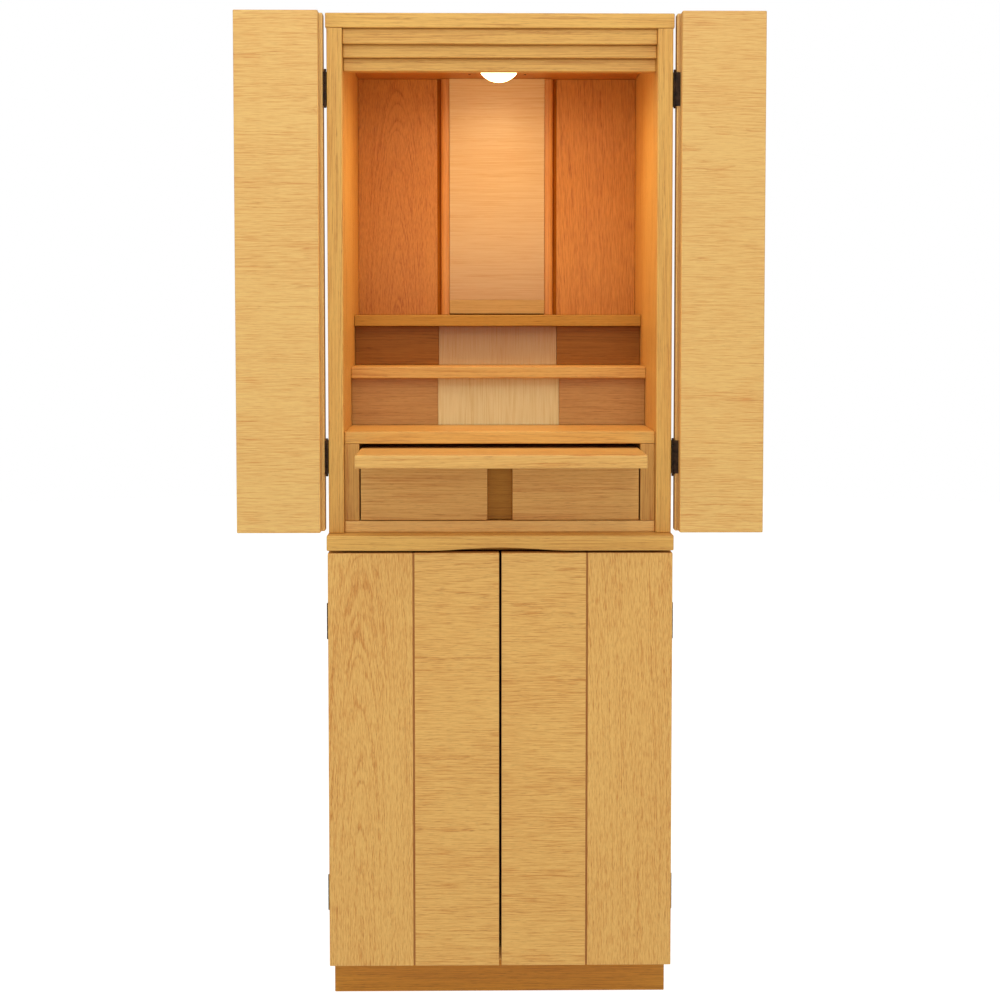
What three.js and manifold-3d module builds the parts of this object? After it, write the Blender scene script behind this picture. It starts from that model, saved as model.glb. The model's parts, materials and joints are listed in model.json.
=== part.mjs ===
// Household altar cabinet in light oak veneer, in modern Japanese style.
// A lit chamber with stepped shelves stands behind two folding doors; under it are a pull-out
// tray and a drawer, then a waist board and a two-door cupboard on a plinth.
// Millimetres, +Z up from the floor, +X to the viewer's right, the viewer on the -Y side.
// It is modelled with the folding doors open flat beside the body and the tray pulled out.
import * as THREE from "three";
import { mergeVertices } from "three/addons/utils/BufferGeometryUtils.js";
import Module from "manifold-3d";

// Overall body
const TOTAL_HEIGHT = 1300;
const BODY_WIDTH = 448;
const BODY_DEPTH = 350;
const SIDE_THICKNESS = 20;
const JOINT_GAP = 0.3; // between two pieces that are glued or rest on each other

// Plinth and lower cupboard
const PLINTH_HEIGHT = 56;
const PLINTH_SETBACK = 40;
const PLINTH_SIDE_INSET = 2;
const PLINTH_BACK_INSET = 4;
const PLINTH_BOARD = 18;
const LOWER_BODY_HEIGHT = 549.2;
const LOWER_BOTTOM_THICKNESS = 18;
const LOWER_BACK_THICKNESS = 5;
const LOWER_BACK_INSET = 6;

// Waist board, with a shallow arch under its front edge for the fingertips
const WAIST_THICKNESS = 20;
const WAIST_SIDE_OVERHANG = 1.2;
const WAIST_FRONT_OVERHANG = 25;
const ARCH_WIDTH = 190;
const ARCH_RISE = 4;
const ARCH_DEPTH = 16;
const ARCH_STEPS = 16;

// Top board, ceiling and the stepped header of three laths
const TOP_THICKNESS = 19;
const TOP_SIDE_OVERHANG = 1.6;
const HEADER_HEIGHTS = [19.5, 16.2, 16.2];
const HEADER_FIRST_SETBACK = 6;
const HEADER_STEP = 8;
const HEADER_DEPTH = 18;
const CEILING_DROP = 23.5; // from under the top board down to the ceiling's lower face
const CEILING_THICKNESS = 12;
const LAMP_RADIUS = 30;
const LAMP_RIM = 3.5;
const LAMP_DROP = 28; // from the rim down to the lowest point of the shade
const LAMP_SETBACK = 115;
const LAMP_SEGMENTS = 32;

// Back wall of the chamber: two side panels, two half-round trims and a raised centre board
const UPPER_BACK_THICKNESS = 9;
const BACK_INSET = 4;
const BACK_PANEL_THICKNESS = 5;
const BACK_PANEL_INNER_EDGE = 89;
const CENTRE_BOARD_WIDTH = 139;
const CENTRE_BOARD_THICKNESS = 14;
const TRIM_WIDTH = 11;
const TRIM_RISE = 5.5;
const TRIM_STEPS = 8;

// Shelves and the risers that carry them, named from the bottom up
const SHELF_THICKNESS = 16;
const SHELF_3_SETBACK = 12;
const SHELF_2_SETBACK = 146;
const SHELF_1_SETBACK = 223;
const RISER_SETBACK = 16; // from a shelf's front edge back to the riser under it
const RISER_THICKNESS = 12;
const RISER_2_HEIGHT = 65;
const RISER_1_HEIGHT = 55;
const RISER_PANEL_WIDTH = 168;
const RISER_PANEL_THICKNESS = 3;
const RISER_PANEL_SINK = 1; // the pale panel's face behind the riser's face

// Drawer compartment and tray
const PARTITION_THICKNESS = 19;
const RAIL_HEIGHT = 14.7;
const DRAWER_HEIGHT = 71;
const DRAWER_SIDE_CLEARANCE = 1.7;
const DRAWER_UNDER_CLEARANCE = 1;
const DRAWER_TOP_CLEARANCE = 1.5;
const DRAWER_FRONT_THICKNESS = 18;
const DRAWER_GRIP_WIDTH = 33;
const DRAWER_GRIP_DEPTH = 9;
const DRAWER_FRONT_SINK = 2;
const DRAWER_BOX_LENGTH = 270;
const DRAWER_BOX_WALL = 9;
const DRAWER_BOX_FLOOR = 5;
const DRAWER_BOX_LOWER = 12; // how much lower the box is than its front
const DRAWER_GLIDE = 0.8;
const TRAY_FLOOR_THICKNESS = 4.5;
const TRAY_THICKNESS = 17;
const TRAY_SIDE_CLEARANCE = 1.7;
const TRAY_LENGTH = 220;
const TRAY_PULL = 112; // how far its front edge stands before the body
const TRAY_UNDER_CLEARANCE = 0.8;
const TRAY_TOP_CLEARANCE = 6;
const TRAY_EDGE = 2;

// Doors
const DOOR_THICKNESS = 22;
const LEAF_THICKNESS = 21;
const DOOR_FRONT_GAP = 1.6; // between the body's front edges and a closed door
const DOOR_EDGE_GAP = 3.4; // between the body's side and an open door
const LEAF_CENTRE_GAP = 2; // between the two closed pairs of leaves
const LEAF_UNDER_GAP = 3;
const FOLD_GAP = 1.2; // between the inner faces of two folded leaves
const FOLD_EDGE = 0.4; // from a leaf's end to the fold's axis
const LEAF_STEP = 5.8; // how much wider the outer leaf is than the inner one
const LOWER_DOOR_TOP_GAP = 3.2;
const LOWER_DOOR_DROP = 1.2; // how far above the bottom board's lower face the door ends
const LOWER_DOOR_CENTRE_GAP = 3.2;
const DOOR_GROOVE_WIDTH = 2.4;
const DOOR_GROOVE_DEPTH = 2.5;

// Hinges
const KNUCKLE_RADIUS = 1.5;
const HINGE_PLATE = 1;
const HINGE_PLATE_WIDTH = 15;
const HINGE_SEGMENTS = 12;
const UPPER_HINGE_LENGTH = 50;
const UPPER_HINGE_INSET = 72; // from the leaf's end to the hinge
const LOWER_HINGE_LENGTH = 48;
const LOWER_HINGE_INSET = 68;
const FOLD_KNUCKLE_RADIUS = 1;
const FOLD_HINGE_INSET = 30;
const FOLD_PLATE_WIDTH = 12;

// Places that follow from the sizes, measured from the front edges of the body's sides
const halfBody = BODY_WIDTH / 2;
const innerHalf = halfBody - SIDE_THICKNESS;
const lowerBodyBottom = PLINTH_HEIGHT + JOINT_GAP;
const waistBottom = lowerBodyBottom + LOWER_BODY_HEIGHT + JOINT_GAP;
const waistTop = waistBottom + WAIST_THICKNESS;
const topBottom = TOTAL_HEIGHT - TOP_THICKNESS;
const ceilingBottom = topBottom - CEILING_DROP;
const upperBackFront = BODY_DEPTH - BACK_INSET - UPPER_BACK_THICKNESS;
const backPanelFront = upperBackFront - JOINT_GAP - BACK_PANEL_THICKNESS;
const centreBoardFront = upperBackFront - JOINT_GAP - CENTRE_BOARD_THICKNESS;
const railTop = waistTop + JOINT_GAP + RAIL_HEIGHT;
const drawerBottom = railTop + DRAWER_UNDER_CLEARANCE;
const drawerTop = drawerBottom + DRAWER_HEIGHT;
const trayFloorBottom = drawerTop + DRAWER_TOP_CLEARANCE;
const trayFloorTop = trayFloorBottom + TRAY_FLOOR_THICKNESS;
const trayBottom = trayFloorTop + TRAY_UNDER_CLEARANCE;
const trayTop = trayBottom + TRAY_THICKNESS;
const shelf3Bottom = trayTop + TRAY_TOP_CLEARANCE;
const shelf3Top = shelf3Bottom + SHELF_THICKNESS;
const shelf2Bottom = shelf3Top + RISER_2_HEIGHT + 2 * JOINT_GAP;
const shelf2Top = shelf2Bottom + SHELF_THICKNESS;
const shelf1Bottom = shelf2Top + RISER_1_HEIGHT + 2 * JOINT_GAP;
const shelf1Top = shelf1Bottom + SHELF_THICKNESS;
const partitionInner = innerHalf - JOINT_GAP - PARTITION_THICKNESS;
const hingeX = halfBody + DOOR_EDGE_GAP / 2;
const hingeY = -DOOR_FRONT_GAP / 2;
const leafBottom = waistTop + LEAF_UNDER_GAP;
const leafNear = halfBody + DOOR_EDGE_GAP;
const bothLeaves = halfBody - LEAF_CENTRE_GAP / 2 - 2 * FOLD_EDGE;
const outerLeafWidth = (bothLeaves + LEAF_STEP) / 2;
const innerLeafWidth = (bothLeaves - LEAF_STEP) / 2;
const leafFar = leafNear + outerLeafWidth;
const foldX = leafFar + FOLD_EDGE;
const foldY = -FOLD_GAP / 2;
const frontMost = -Math.max(TRAY_PULL, WAIST_FRONT_OVERHANG, FOLD_GAP + LEAF_THICKNESS);

const oak = (colour) =>
  new THREE.MeshStandardMaterial({ color: colour, roughness: 0.5, metalness: 0 });
const doorOak = oak("#e3b36b");
const bodyOak = oak("#d3a05d");
const innerOak = oak("#cc8b48");
const paleOak = oak("#e8c08a");
const darkOak = oak("#b07a43");
const bronze = new THREE.MeshStandardMaterial({ color: "#3a2b1c", roughness: 0.45, metalness: 0.8 });
const lampShade = new THREE.MeshStandardMaterial({ color: "#fff6e6", roughness: 0.4, metalness: 0 });

const wasm = await Module();
wasm.setup();

// A closed geometry as a solid that can be cut and joined.
function solidOf(geometry) {
  const plain = geometry.clone();
  plain.deleteAttribute("normal");
  plain.deleteAttribute("uv");
  const merged = mergeVertices(plain, 1e-4);
  const mesh = new wasm.Mesh({
    numProp: 3,
    vertProperties: merged.attributes.position.array,
    triVerts: new Uint32Array(merged.index.array),
  });
  return new wasm.Manifold(mesh);
}

function geometryOf(solid) {
  const { vertProperties, triVerts } = solid.getMesh();
  const geometry = new THREE.BufferGeometry();
  geometry.setAttribute("position", new THREE.BufferAttribute(vertProperties, 3));
  geometry.setIndex(new THREE.BufferAttribute(triVerts, 1));
  geometry.computeVertexNormals();
  return geometry;
}

const cabinet = new THREE.Group();
cabinet.name = "household_altar_cabinet";
cabinet.position.y = -(frontMost + BODY_DEPTH) / 2;

function add(name, material, geometry) {
  const mesh = new THREE.Mesh(geometry, material);
  mesh.name = name;
  cabinet.add(mesh);
  return mesh;
}

// A block between two limits on each axis.
function block([x0, x1], [y0, y1], [z0, z1]) {
  const geometry = new THREE.BoxGeometry(x1 - x0, y1 - y0, z1 - z0);
  return geometry.translate((x0 + x1) / 2, (y0 + y1) / 2, (z0 + z1) / 2);
}

function board(name, material, x, y, z) {
  return add(name, material, block(x, y, z));
}

// The limits on X of a piece on one side of the body; side is -1 on the left, 1 on the right.
function onSide(side, inner, outer) {
  return side > 0 ? [inner, outer] : [-outer, -inner];
}

// A flat outline of [x, y] points, raised along Z from one height to another.
function upright(points, bottom, top) {
  const shape = new THREE.Shape(points.map(([x, y]) => new THREE.Vector2(x, y)));
  const settings = { depth: top - bottom, bevelEnabled: false };
  return new THREE.ExtrudeGeometry(shape, settings).translate(0, 0, bottom);
}

function cut(geometry, ...tools) {
  return geometryOf(tools.reduce((rest, tool) => rest.subtract(solidOf(tool)), solidOf(geometry)));
}

const across = [-(innerHalf - JOINT_GAP), innerHalf - JOINT_GAP];
const sideNames = [
  ["left", -1],
  ["right", 1],
];

function makePlinth() {
  const half = halfBody - PLINTH_SIDE_INSET;
  const back = BODY_DEPTH - PLINTH_BACK_INSET;
  const outer = block([-half, half], [PLINTH_SETBACK, back], [0, PLINTH_HEIGHT]);
  const innerX = half - PLINTH_BOARD;
  const innerY = [PLINTH_SETBACK + PLINTH_BOARD, back - PLINTH_BOARD];
  const hollow = block([-innerX, innerX], innerY, [-1, PLINTH_HEIGHT + 1]);
  add("plinth_frame", darkOak, cut(outer, hollow));
}

function makeLowerBody() {
  const top = waistBottom - JOINT_GAP;
  for (const [label, side] of sideNames) {
    const x = onSide(side, innerHalf, halfBody);
    board("lower_side_" + label, bodyOak, x, [0, BODY_DEPTH], [lowerBodyBottom, top]);
  }
  const backBack = BODY_DEPTH - LOWER_BACK_INSET;
  const backFront = backBack - LOWER_BACK_THICKNESS;
  const bottomTop = lowerBodyBottom + LOWER_BOTTOM_THICKNESS;
  board("lower_bottom", bodyOak, across, [0, backFront - JOINT_GAP], [lowerBodyBottom, bottomTop]);
  board("lower_back", darkOak, across, [backFront, backBack], [lowerBodyBottom, top]);
}

// The waist board's front edge is hollowed underneath along half a cosine wave.
function makeWaistBoard() {
  const half = halfBody + WAIST_SIDE_OVERHANG;
  const slab = block([-half, half], [-WAIST_FRONT_OVERHANG, BODY_DEPTH], [waistBottom, waistTop]);
  const outline = [];
  for (let step = 0; step <= ARCH_STEPS; step++) {
    const share = step / ARCH_STEPS - 0.5;
    const rise = (ARCH_RISE / 2) * (1 + Math.cos(2 * Math.PI * share));
    outline.push(new THREE.Vector2(share * ARCH_WIDTH, rise));
  }
  outline.push(new THREE.Vector2(ARCH_WIDTH / 2, -1), new THREE.Vector2(-ARCH_WIDTH / 2, -1));
  const settings = { depth: ARCH_DEPTH + 1, bevelEnabled: false };
  const arch = new THREE.ExtrudeGeometry(new THREE.Shape(outline.reverse()), settings);
  arch.rotateX(Math.PI / 2);
  arch.translate(0, ARCH_DEPTH - WAIST_FRONT_OVERHANG, waistBottom);
  add("waist_board", bodyOak, cut(slab, arch));
}

function makeUpperBody() {
  for (const [label, side] of sideNames) {
    const x = onSide(side, innerHalf, halfBody);
    const z = [waistTop + JOINT_GAP, topBottom - JOINT_GAP];
    board("upper_side_" + label, bodyOak, x, [0, BODY_DEPTH], z);
  }
  const half = halfBody + TOP_SIDE_OVERHANG;
  board("top_board", bodyOak, [-half, half], [0, BODY_DEPTH], [topBottom, TOTAL_HEIGHT]);
  const backY = [upperBackFront, upperBackFront + UPPER_BACK_THICKNESS];
  board("upper_back", darkOak, across, backY, [waistTop + JOINT_GAP, topBottom - JOINT_GAP]);
}

// Each lath of the header stands a step further back than the one above it.
function makeHeader() {
  let top = topBottom - JOINT_GAP;
  HEADER_HEIGHTS.forEach((height, index) => {
    const front = HEADER_FIRST_SETBACK + index * HEADER_STEP;
    board("header_lath_" + (index + 1), bodyOak, across, [front, front + HEADER_DEPTH], [top - height, top]);
    top -= height + JOINT_GAP;
  });
}

function makeCeilingAndLamp() {
  const lathsBack = HEADER_FIRST_SETBACK + (HEADER_HEIGHTS.length - 1) * HEADER_STEP + HEADER_DEPTH;
  const y = [lathsBack + JOINT_GAP, upperBackFront - JOINT_GAP];
  board("ceiling_board", innerOak, across, y, [ceilingBottom, ceilingBottom + CEILING_THICKNESS]);
  const profile = [new THREE.Vector2(0, 0), new THREE.Vector2(0, -LAMP_RIM - LAMP_DROP)];
  const quarter = LAMP_SEGMENTS / 4;
  for (let step = 1; step <= quarter; step++) {
    const angle = (step / quarter) * (Math.PI / 2);
    const out = LAMP_RADIUS * Math.sin(angle);
    profile.push(new THREE.Vector2(out, -LAMP_RIM - LAMP_DROP * Math.cos(angle)));
  }
  profile.push(new THREE.Vector2(LAMP_RADIUS, 0), new THREE.Vector2(0, 0));
  const dome = new THREE.LatheGeometry(profile.slice(1), LAMP_SEGMENTS);
  dome.rotateX(Math.PI / 2);
  add("lamp_dome", lampShade, dome).position.set(0, LAMP_SETBACK, ceilingBottom - JOINT_GAP);
}

function makeBackWall() {
  const z = [shelf1Top + JOINT_GAP, ceilingBottom - JOINT_GAP];
  for (const [label, side] of sideNames) {
    const x = onSide(side, BACK_PANEL_INNER_EDGE, innerHalf - JOINT_GAP);
    const y = [backPanelFront, backPanelFront + BACK_PANEL_THICKNESS];
    board("back_panel_" + label, innerOak, x, y, z);
    const edge = CENTRE_BOARD_WIDTH / 2 + JOINT_GAP;
    const outline = [];
    for (let step = 0; step <= TRIM_STEPS; step++) {
      const angle = (Math.PI * step) / TRIM_STEPS;
      const out = edge + (TRIM_WIDTH / 2) * (1 - Math.cos(angle));
      outline.push([side * out, backPanelFront - TRIM_RISE * Math.sin(angle)]);
    }
    const back = upperBackFront - JOINT_GAP;
    outline.push([side * (edge + TRIM_WIDTH), back], [side * edge, back]);
    add("back_trim_" + label, paleOak, upright(outline, ...z));
  }
  const half = CENTRE_BOARD_WIDTH / 2;
  const y = [centreBoardFront, centreBoardFront + CENTRE_BOARD_THICKNESS];
  board("back_centre_board", paleOak, [-half, half], y, z);
}

// A riser is a board with a shallow bay in the middle of its face for a thin pale panel.
function makeRiser(number, shelfSetback, bottom, height) {
  const front = shelfSetback + RISER_SETBACK;
  const z = [bottom + JOINT_GAP, bottom + JOINT_GAP + height];
  const half = RISER_PANEL_WIDTH / 2;
  const bay = RISER_PANEL_SINK + RISER_PANEL_THICKNESS + JOINT_GAP;
  const outline = [
    [across[0], front],
    [-half - JOINT_GAP, front],
    [-half - JOINT_GAP, front + bay],
    [half + JOINT_GAP, front + bay],
    [half + JOINT_GAP, front],
    [across[1], front],
    [across[1], front + RISER_THICKNESS],
    [across[0], front + RISER_THICKNESS],
  ];
  add("riser_" + number, darkOak, upright(outline, ...z));
  const panelFront = front + RISER_PANEL_SINK;
  board("riser_panel_" + number, paleOak, [-half, half], [panelFront, panelFront + RISER_PANEL_THICKNESS], z);
}

function makeShelves() {
  const back = upperBackFront - JOINT_GAP;
  board("shelf_3", innerOak, across, [SHELF_3_SETBACK, back], [shelf3Bottom, shelf3Top]);
  board("shelf_2", innerOak, across, [SHELF_2_SETBACK, back], [shelf2Bottom, shelf2Top]);
  board("shelf_1", innerOak, across, [SHELF_1_SETBACK, back], [shelf1Bottom, shelf1Top]);
  makeRiser(2, SHELF_2_SETBACK, shelf3Top, RISER_2_HEIGHT);
  makeRiser(1, SHELF_1_SETBACK, shelf2Top, RISER_1_HEIGHT);
}

function makeCompartment() {
  const back = upperBackFront - JOINT_GAP;
  for (const [label, side] of sideNames) {
    const x = onSide(side, partitionInner, innerHalf - JOINT_GAP);
    const z = [railTop + JOINT_GAP, shelf3Bottom - JOINT_GAP];
    board("partition_" + label, bodyOak, x, [SHELF_3_SETBACK, back], z);
  }
  board("bottom_rail", bodyOak, across, [SHELF_3_SETBACK, back], [waistTop + JOINT_GAP, railTop]);
  const half = partitionInner - JOINT_GAP;
  const floorY = [SHELF_3_SETBACK + DRAWER_FRONT_SINK, back];
  board("tray_floor", bodyOak, [-half, half], floorY, [trayFloorBottom, trayFloorTop]);
}

// The tray's long lower edges are eased by a small chamfer.
function makeTray() {
  const half = partitionInner - TRAY_SIDE_CLEARANCE;
  const y = [-TRAY_PULL, TRAY_LENGTH - TRAY_PULL];
  const outline = [
    [y[0], trayBottom + TRAY_EDGE],
    [y[0] + TRAY_EDGE, trayBottom],
    [y[1], trayBottom],
    [y[1], trayTop],
    [y[0], trayTop],
  ];
  const shape = new THREE.Shape(outline.map(([along, up]) => new THREE.Vector2(along, up)));
  const tray = new THREE.ExtrudeGeometry(shape, { depth: 2 * half, bevelEnabled: false });
  tray.rotateX(Math.PI / 2).rotateZ(Math.PI / 2).translate(-half, 0, 0);
  add("pull_out_tray", bodyOak, tray);
}

function makeDrawer() {
  const half = partitionInner - DRAWER_SIDE_CLEARANCE;
  const front = SHELF_3_SETBACK + DRAWER_FRONT_SINK;
  const back = front + DRAWER_FRONT_THICKNESS;
  const grip = DRAWER_GRIP_WIDTH / 2;
  const outline = [
    [-half, front],
    [-grip, front],
    [-grip, front + DRAWER_GRIP_DEPTH],
    [grip, front + DRAWER_GRIP_DEPTH],
    [grip, front],
    [half, front],
    [half, back],
    [-half, back],
  ];
  add("drawer_front", bodyOak, upright(outline, drawerBottom, drawerTop));
  const boxBottom = railTop + DRAWER_GLIDE;
  const boxTop = drawerTop - DRAWER_BOX_LOWER;
  const boxFront = back + JOINT_GAP;
  const boxBack = boxFront + DRAWER_BOX_LENGTH;
  const shell = block([-half, half], [boxFront, boxBack], [boxBottom, boxTop]);
  const inside = block(
    [-half + DRAWER_BOX_WALL, half - DRAWER_BOX_WALL],
    [boxFront + DRAWER_BOX_WALL, boxBack - DRAWER_BOX_WALL],
    [boxBottom + DRAWER_BOX_FLOOR, boxTop + 1],
  );
  add("drawer_box", paleOak, cut(shell, inside));
}

// The room that a knuckle takes from the corner of a leaf, along the whole of its length.
function knuckleRoom(side, [z0, z1]) {
  const reach = FOLD_KNUCKLE_RADIUS + JOINT_GAP;
  const x = onSide(side, foldX - reach, foldX + reach);
  return block(x, [foldY - reach, foldY + reach], [z0 - JOINT_GAP, z1 + JOINT_GAP]);
}

// The room for a hinge plate let into a leaf's inner face at its far end.
function foldPlateRoom(side, [y0, y1], [z0, z1]) {
  const x = onSide(side, leafFar - FOLD_PLATE_WIDTH - JOINT_GAP, leafFar + 1);
  return block(x, [y0, y1], [z0 - JOINT_GAP, z1 + JOINT_GAP]);
}

const foldHingeZ = [leafBottom + FOLD_HINGE_INSET, TOTAL_HEIGHT - FOLD_HINGE_INSET];
const foldPlateDepth = HINGE_PLATE + JOINT_GAP;

// The outer leaf turns on the body; the inner leaf is folded back on its inner face.
function makeFoldingDoor(label, side) {
  const z = [leafBottom, TOTAL_HEIGHT];
  const outerX = onSide(side, leafNear, leafFar);
  const outer = block(outerX, [0, LEAF_THICKNESS], z);
  const outerPlate = foldPlateRoom(side, [-1, foldPlateDepth], foldHingeZ);
  const hingePlates = upperHingeHeights().map(([z0, z1]) => {
    const x = onSide(side, leafNear - 1, leafNear + HINGE_PLATE_WIDTH + JOINT_GAP);
    return block(x, [-1, foldPlateDepth], [z0 - JOINT_GAP, z1 + JOINT_GAP]);
  });
  const room = knuckleRoom(side, foldHingeZ);
  add("outer_leaf_" + label, doorOak, cut(outer, outerPlate, room, ...hingePlates));
  const innerX = onSide(side, leafFar - innerLeafWidth, leafFar);
  const innerY = [-FOLD_GAP - LEAF_THICKNESS, -FOLD_GAP];
  const inner = block(innerX, innerY, z);
  const innerPlate = foldPlateRoom(side, [-FOLD_GAP - foldPlateDepth, 0], foldHingeZ);
  add("inner_leaf_" + label, doorOak, cut(inner, innerPlate, room));
  makeFoldHinge(label, side);
}

// A hinge half: a plate that ends in a part of the knuckle. plate is its [x, y] outline.
function hingeHalf(name, axisX, axisY, radius, plate, plateZ, knuckleZ) {
  const [k0, k1] = knuckleZ;
  const barrel = new THREE.CylinderGeometry(radius, radius, k1 - k0, HINGE_SEGMENTS);
  barrel.rotateX(Math.PI / 2);
  barrel.translate(axisX, axisY, (k0 + k1) / 2);
  const leaf = block(plate[0], plate[1], plateZ);
  add(name, bronze, geometryOf(solidOf(barrel).add(solidOf(leaf))));
}

// The fold's hinge: each half is a plate flush with its leaf's inner face and half the knuckle.
function makeFoldHinge(label, side) {
  const [z0, z1] = foldHingeZ;
  const middle = (z0 + z1) / 2;
  const lower = [z0, middle - JOINT_GAP / 2];
  const upper = [middle + JOINT_GAP / 2, z1];
  const x = onSide(side, leafFar - FOLD_PLATE_WIDTH, foldX);
  const outerY = [0, HINGE_PLATE];
  const innerY = [-FOLD_GAP - HINGE_PLATE, -FOLD_GAP];
  const axisX = side * foldX;
  hingeHalf("fold_hinge_outer_" + label, axisX, foldY, FOLD_KNUCKLE_RADIUS, [x, outerY], lower, lower);
  hingeHalf("fold_hinge_inner_" + label, axisX, foldY, FOLD_KNUCKLE_RADIUS, [x, innerY], upper, upper);
}

function upperHingeHeights() {
  const low = leafBottom + UPPER_HINGE_INSET;
  const high = TOTAL_HEIGHT - UPPER_HINGE_INSET;
  return [
    [low, low + UPPER_HINGE_LENGTH],
    [high - UPPER_HINGE_LENGTH, high],
  ];
}

const doorBottom = lowerBodyBottom + LOWER_DOOR_DROP;
const doorTop = waistBottom - LOWER_DOOR_TOP_GAP;

function lowerHingeHeights() {
  const low = doorBottom + LOWER_HINGE_INSET;
  const high = doorTop - LOWER_HINGE_INSET;
  return [
    [low, low + LOWER_HINGE_LENGTH],
    [high - LOWER_HINGE_LENGTH, high],
  ];
}

// Body hinges: one plate lies on the outer face of the body's side, with the knuckle's lower
// part; the other is let into the door's inner face, with the knuckle's upper part.
function makeBodyHinges(kind, label, side, heights, doorPlateX, doorPlateY) {
  const wall = halfBody + JOINT_GAP;
  const bodyX = onSide(side, wall, wall + HINGE_PLATE);
  const bodyY = [hingeY, HINGE_PLATE_WIDTH];
  heights.forEach(([z0, z1], index) => {
    const middle = (z0 + z1) / 2;
    const tail = kind + "_" + label + "_" + (index + 1);
    const lower = [z0, middle - JOINT_GAP / 2];
    const upper = [middle + JOINT_GAP / 2, z1];
    const axisX = side * hingeX;
    hingeHalf("hinge_body_" + tail, axisX, hingeY, KNUCKLE_RADIUS, [bodyX, bodyY], lower, lower);
    hingeHalf("hinge_door_" + tail, axisX, hingeY, KNUCKLE_RADIUS, [doorPlateX, doorPlateY], upper, upper);
  });
}

// A lower door has a narrow groove down the middle of its face.
function makeLowerDoor(label, side) {
  const inner = LOWER_DOOR_CENTRE_GAP / 2;
  const y = [-DOOR_FRONT_GAP - DOOR_THICKNESS, -DOOR_FRONT_GAP];
  const slab = block(onSide(side, inner, halfBody), y, [doorBottom, doorTop]);
  const middle = (inner + halfBody) / 2;
  const groove = block(
    onSide(side, middle - DOOR_GROOVE_WIDTH / 2, middle + DOOR_GROOVE_WIDTH / 2),
    [y[0] - 1, y[0] + DOOR_GROOVE_DEPTH],
    [doorBottom - 1, doorTop + 1],
  );
  const plates = lowerHingeHeights().map(([z0, z1]) => {
    const x = onSide(side, halfBody - HINGE_PLATE_WIDTH - JOINT_GAP, halfBody + 1);
    return block(x, [y[1] - foldPlateDepth, y[1] + 1], [z0 - JOINT_GAP, z1 + JOINT_GAP]);
  });
  add("lower_door_" + label, doorOak, cut(slab, groove, ...plates));
}

makePlinth();
makeLowerBody();
makeWaistBoard();
makeUpperBody();
makeHeader();
makeCeilingAndLamp();
makeBackWall();
makeShelves();
makeCompartment();
makeTray();
makeDrawer();
for (const [label, side] of sideNames) {
  makeFoldingDoor(label, side);
  const leafPlateX = onSide(side, hingeX, leafNear + HINGE_PLATE_WIDTH);
  makeBodyHinges("upper", label, side, upperHingeHeights(), leafPlateX, [0, HINGE_PLATE]);
  makeLowerDoor(label, side);
  const doorPlateX = onSide(side, halfBody - HINGE_PLATE_WIDTH, hingeX);
  const doorPlateY = [-DOOR_FRONT_GAP - HINGE_PLATE, -DOOR_FRONT_GAP];
  makeBodyHinges("lower", label, side, lowerHingeHeights(), doorPlateX, doorPlateY);
}

export default cabinet;
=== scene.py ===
import json
import math

import bpy
import numpy as np
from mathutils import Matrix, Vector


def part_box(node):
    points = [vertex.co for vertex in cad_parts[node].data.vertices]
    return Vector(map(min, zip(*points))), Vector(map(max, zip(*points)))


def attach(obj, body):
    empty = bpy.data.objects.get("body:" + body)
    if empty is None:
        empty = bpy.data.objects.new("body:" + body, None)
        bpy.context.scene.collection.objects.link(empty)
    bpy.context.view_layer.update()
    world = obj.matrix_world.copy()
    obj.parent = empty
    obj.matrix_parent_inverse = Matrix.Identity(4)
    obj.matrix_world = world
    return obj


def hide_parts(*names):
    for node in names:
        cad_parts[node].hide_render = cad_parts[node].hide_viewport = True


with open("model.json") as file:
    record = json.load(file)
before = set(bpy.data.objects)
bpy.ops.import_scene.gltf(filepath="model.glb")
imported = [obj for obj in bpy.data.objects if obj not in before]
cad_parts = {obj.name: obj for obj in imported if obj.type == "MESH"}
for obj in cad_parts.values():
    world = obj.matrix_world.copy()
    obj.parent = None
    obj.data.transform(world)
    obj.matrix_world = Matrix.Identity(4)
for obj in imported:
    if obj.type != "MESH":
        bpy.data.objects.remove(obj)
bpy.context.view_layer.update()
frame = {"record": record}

scene = bpy.context.scene
mm = 0.001

X, Y, Z = 0, 1, 2

# Camera: in front, at seven tenths of the height, looking down a little
tilt_down = 0.05743  # radians
turned_right = 0.01407  # radians
camera_data = bpy.data.cameras.new("camera")
camera_data.lens = 66.853
camera_data.sensor_width = 36.0
camera_data.shift_y = -0.075
camera = bpy.data.objects.new("camera", camera_data)
camera.location = (-0.03417, -2.53917, 0.90701)
camera.rotation_euler = (math.pi / 2 - tilt_down, 0.0, -turned_right)
scene.collection.objects.link(camera)
scene.camera = camera

record = frame["record"]
body_of = {node: body for body, nodes in record["behaviour"]["bodies"].items() for node in nodes}
slot_of = {part["node"]: part["material_slot"] for part in record["subparts"]}


# Surfaces
hold_share = 0.3  # the two holds beside an arc take at most this share of the straight between


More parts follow.
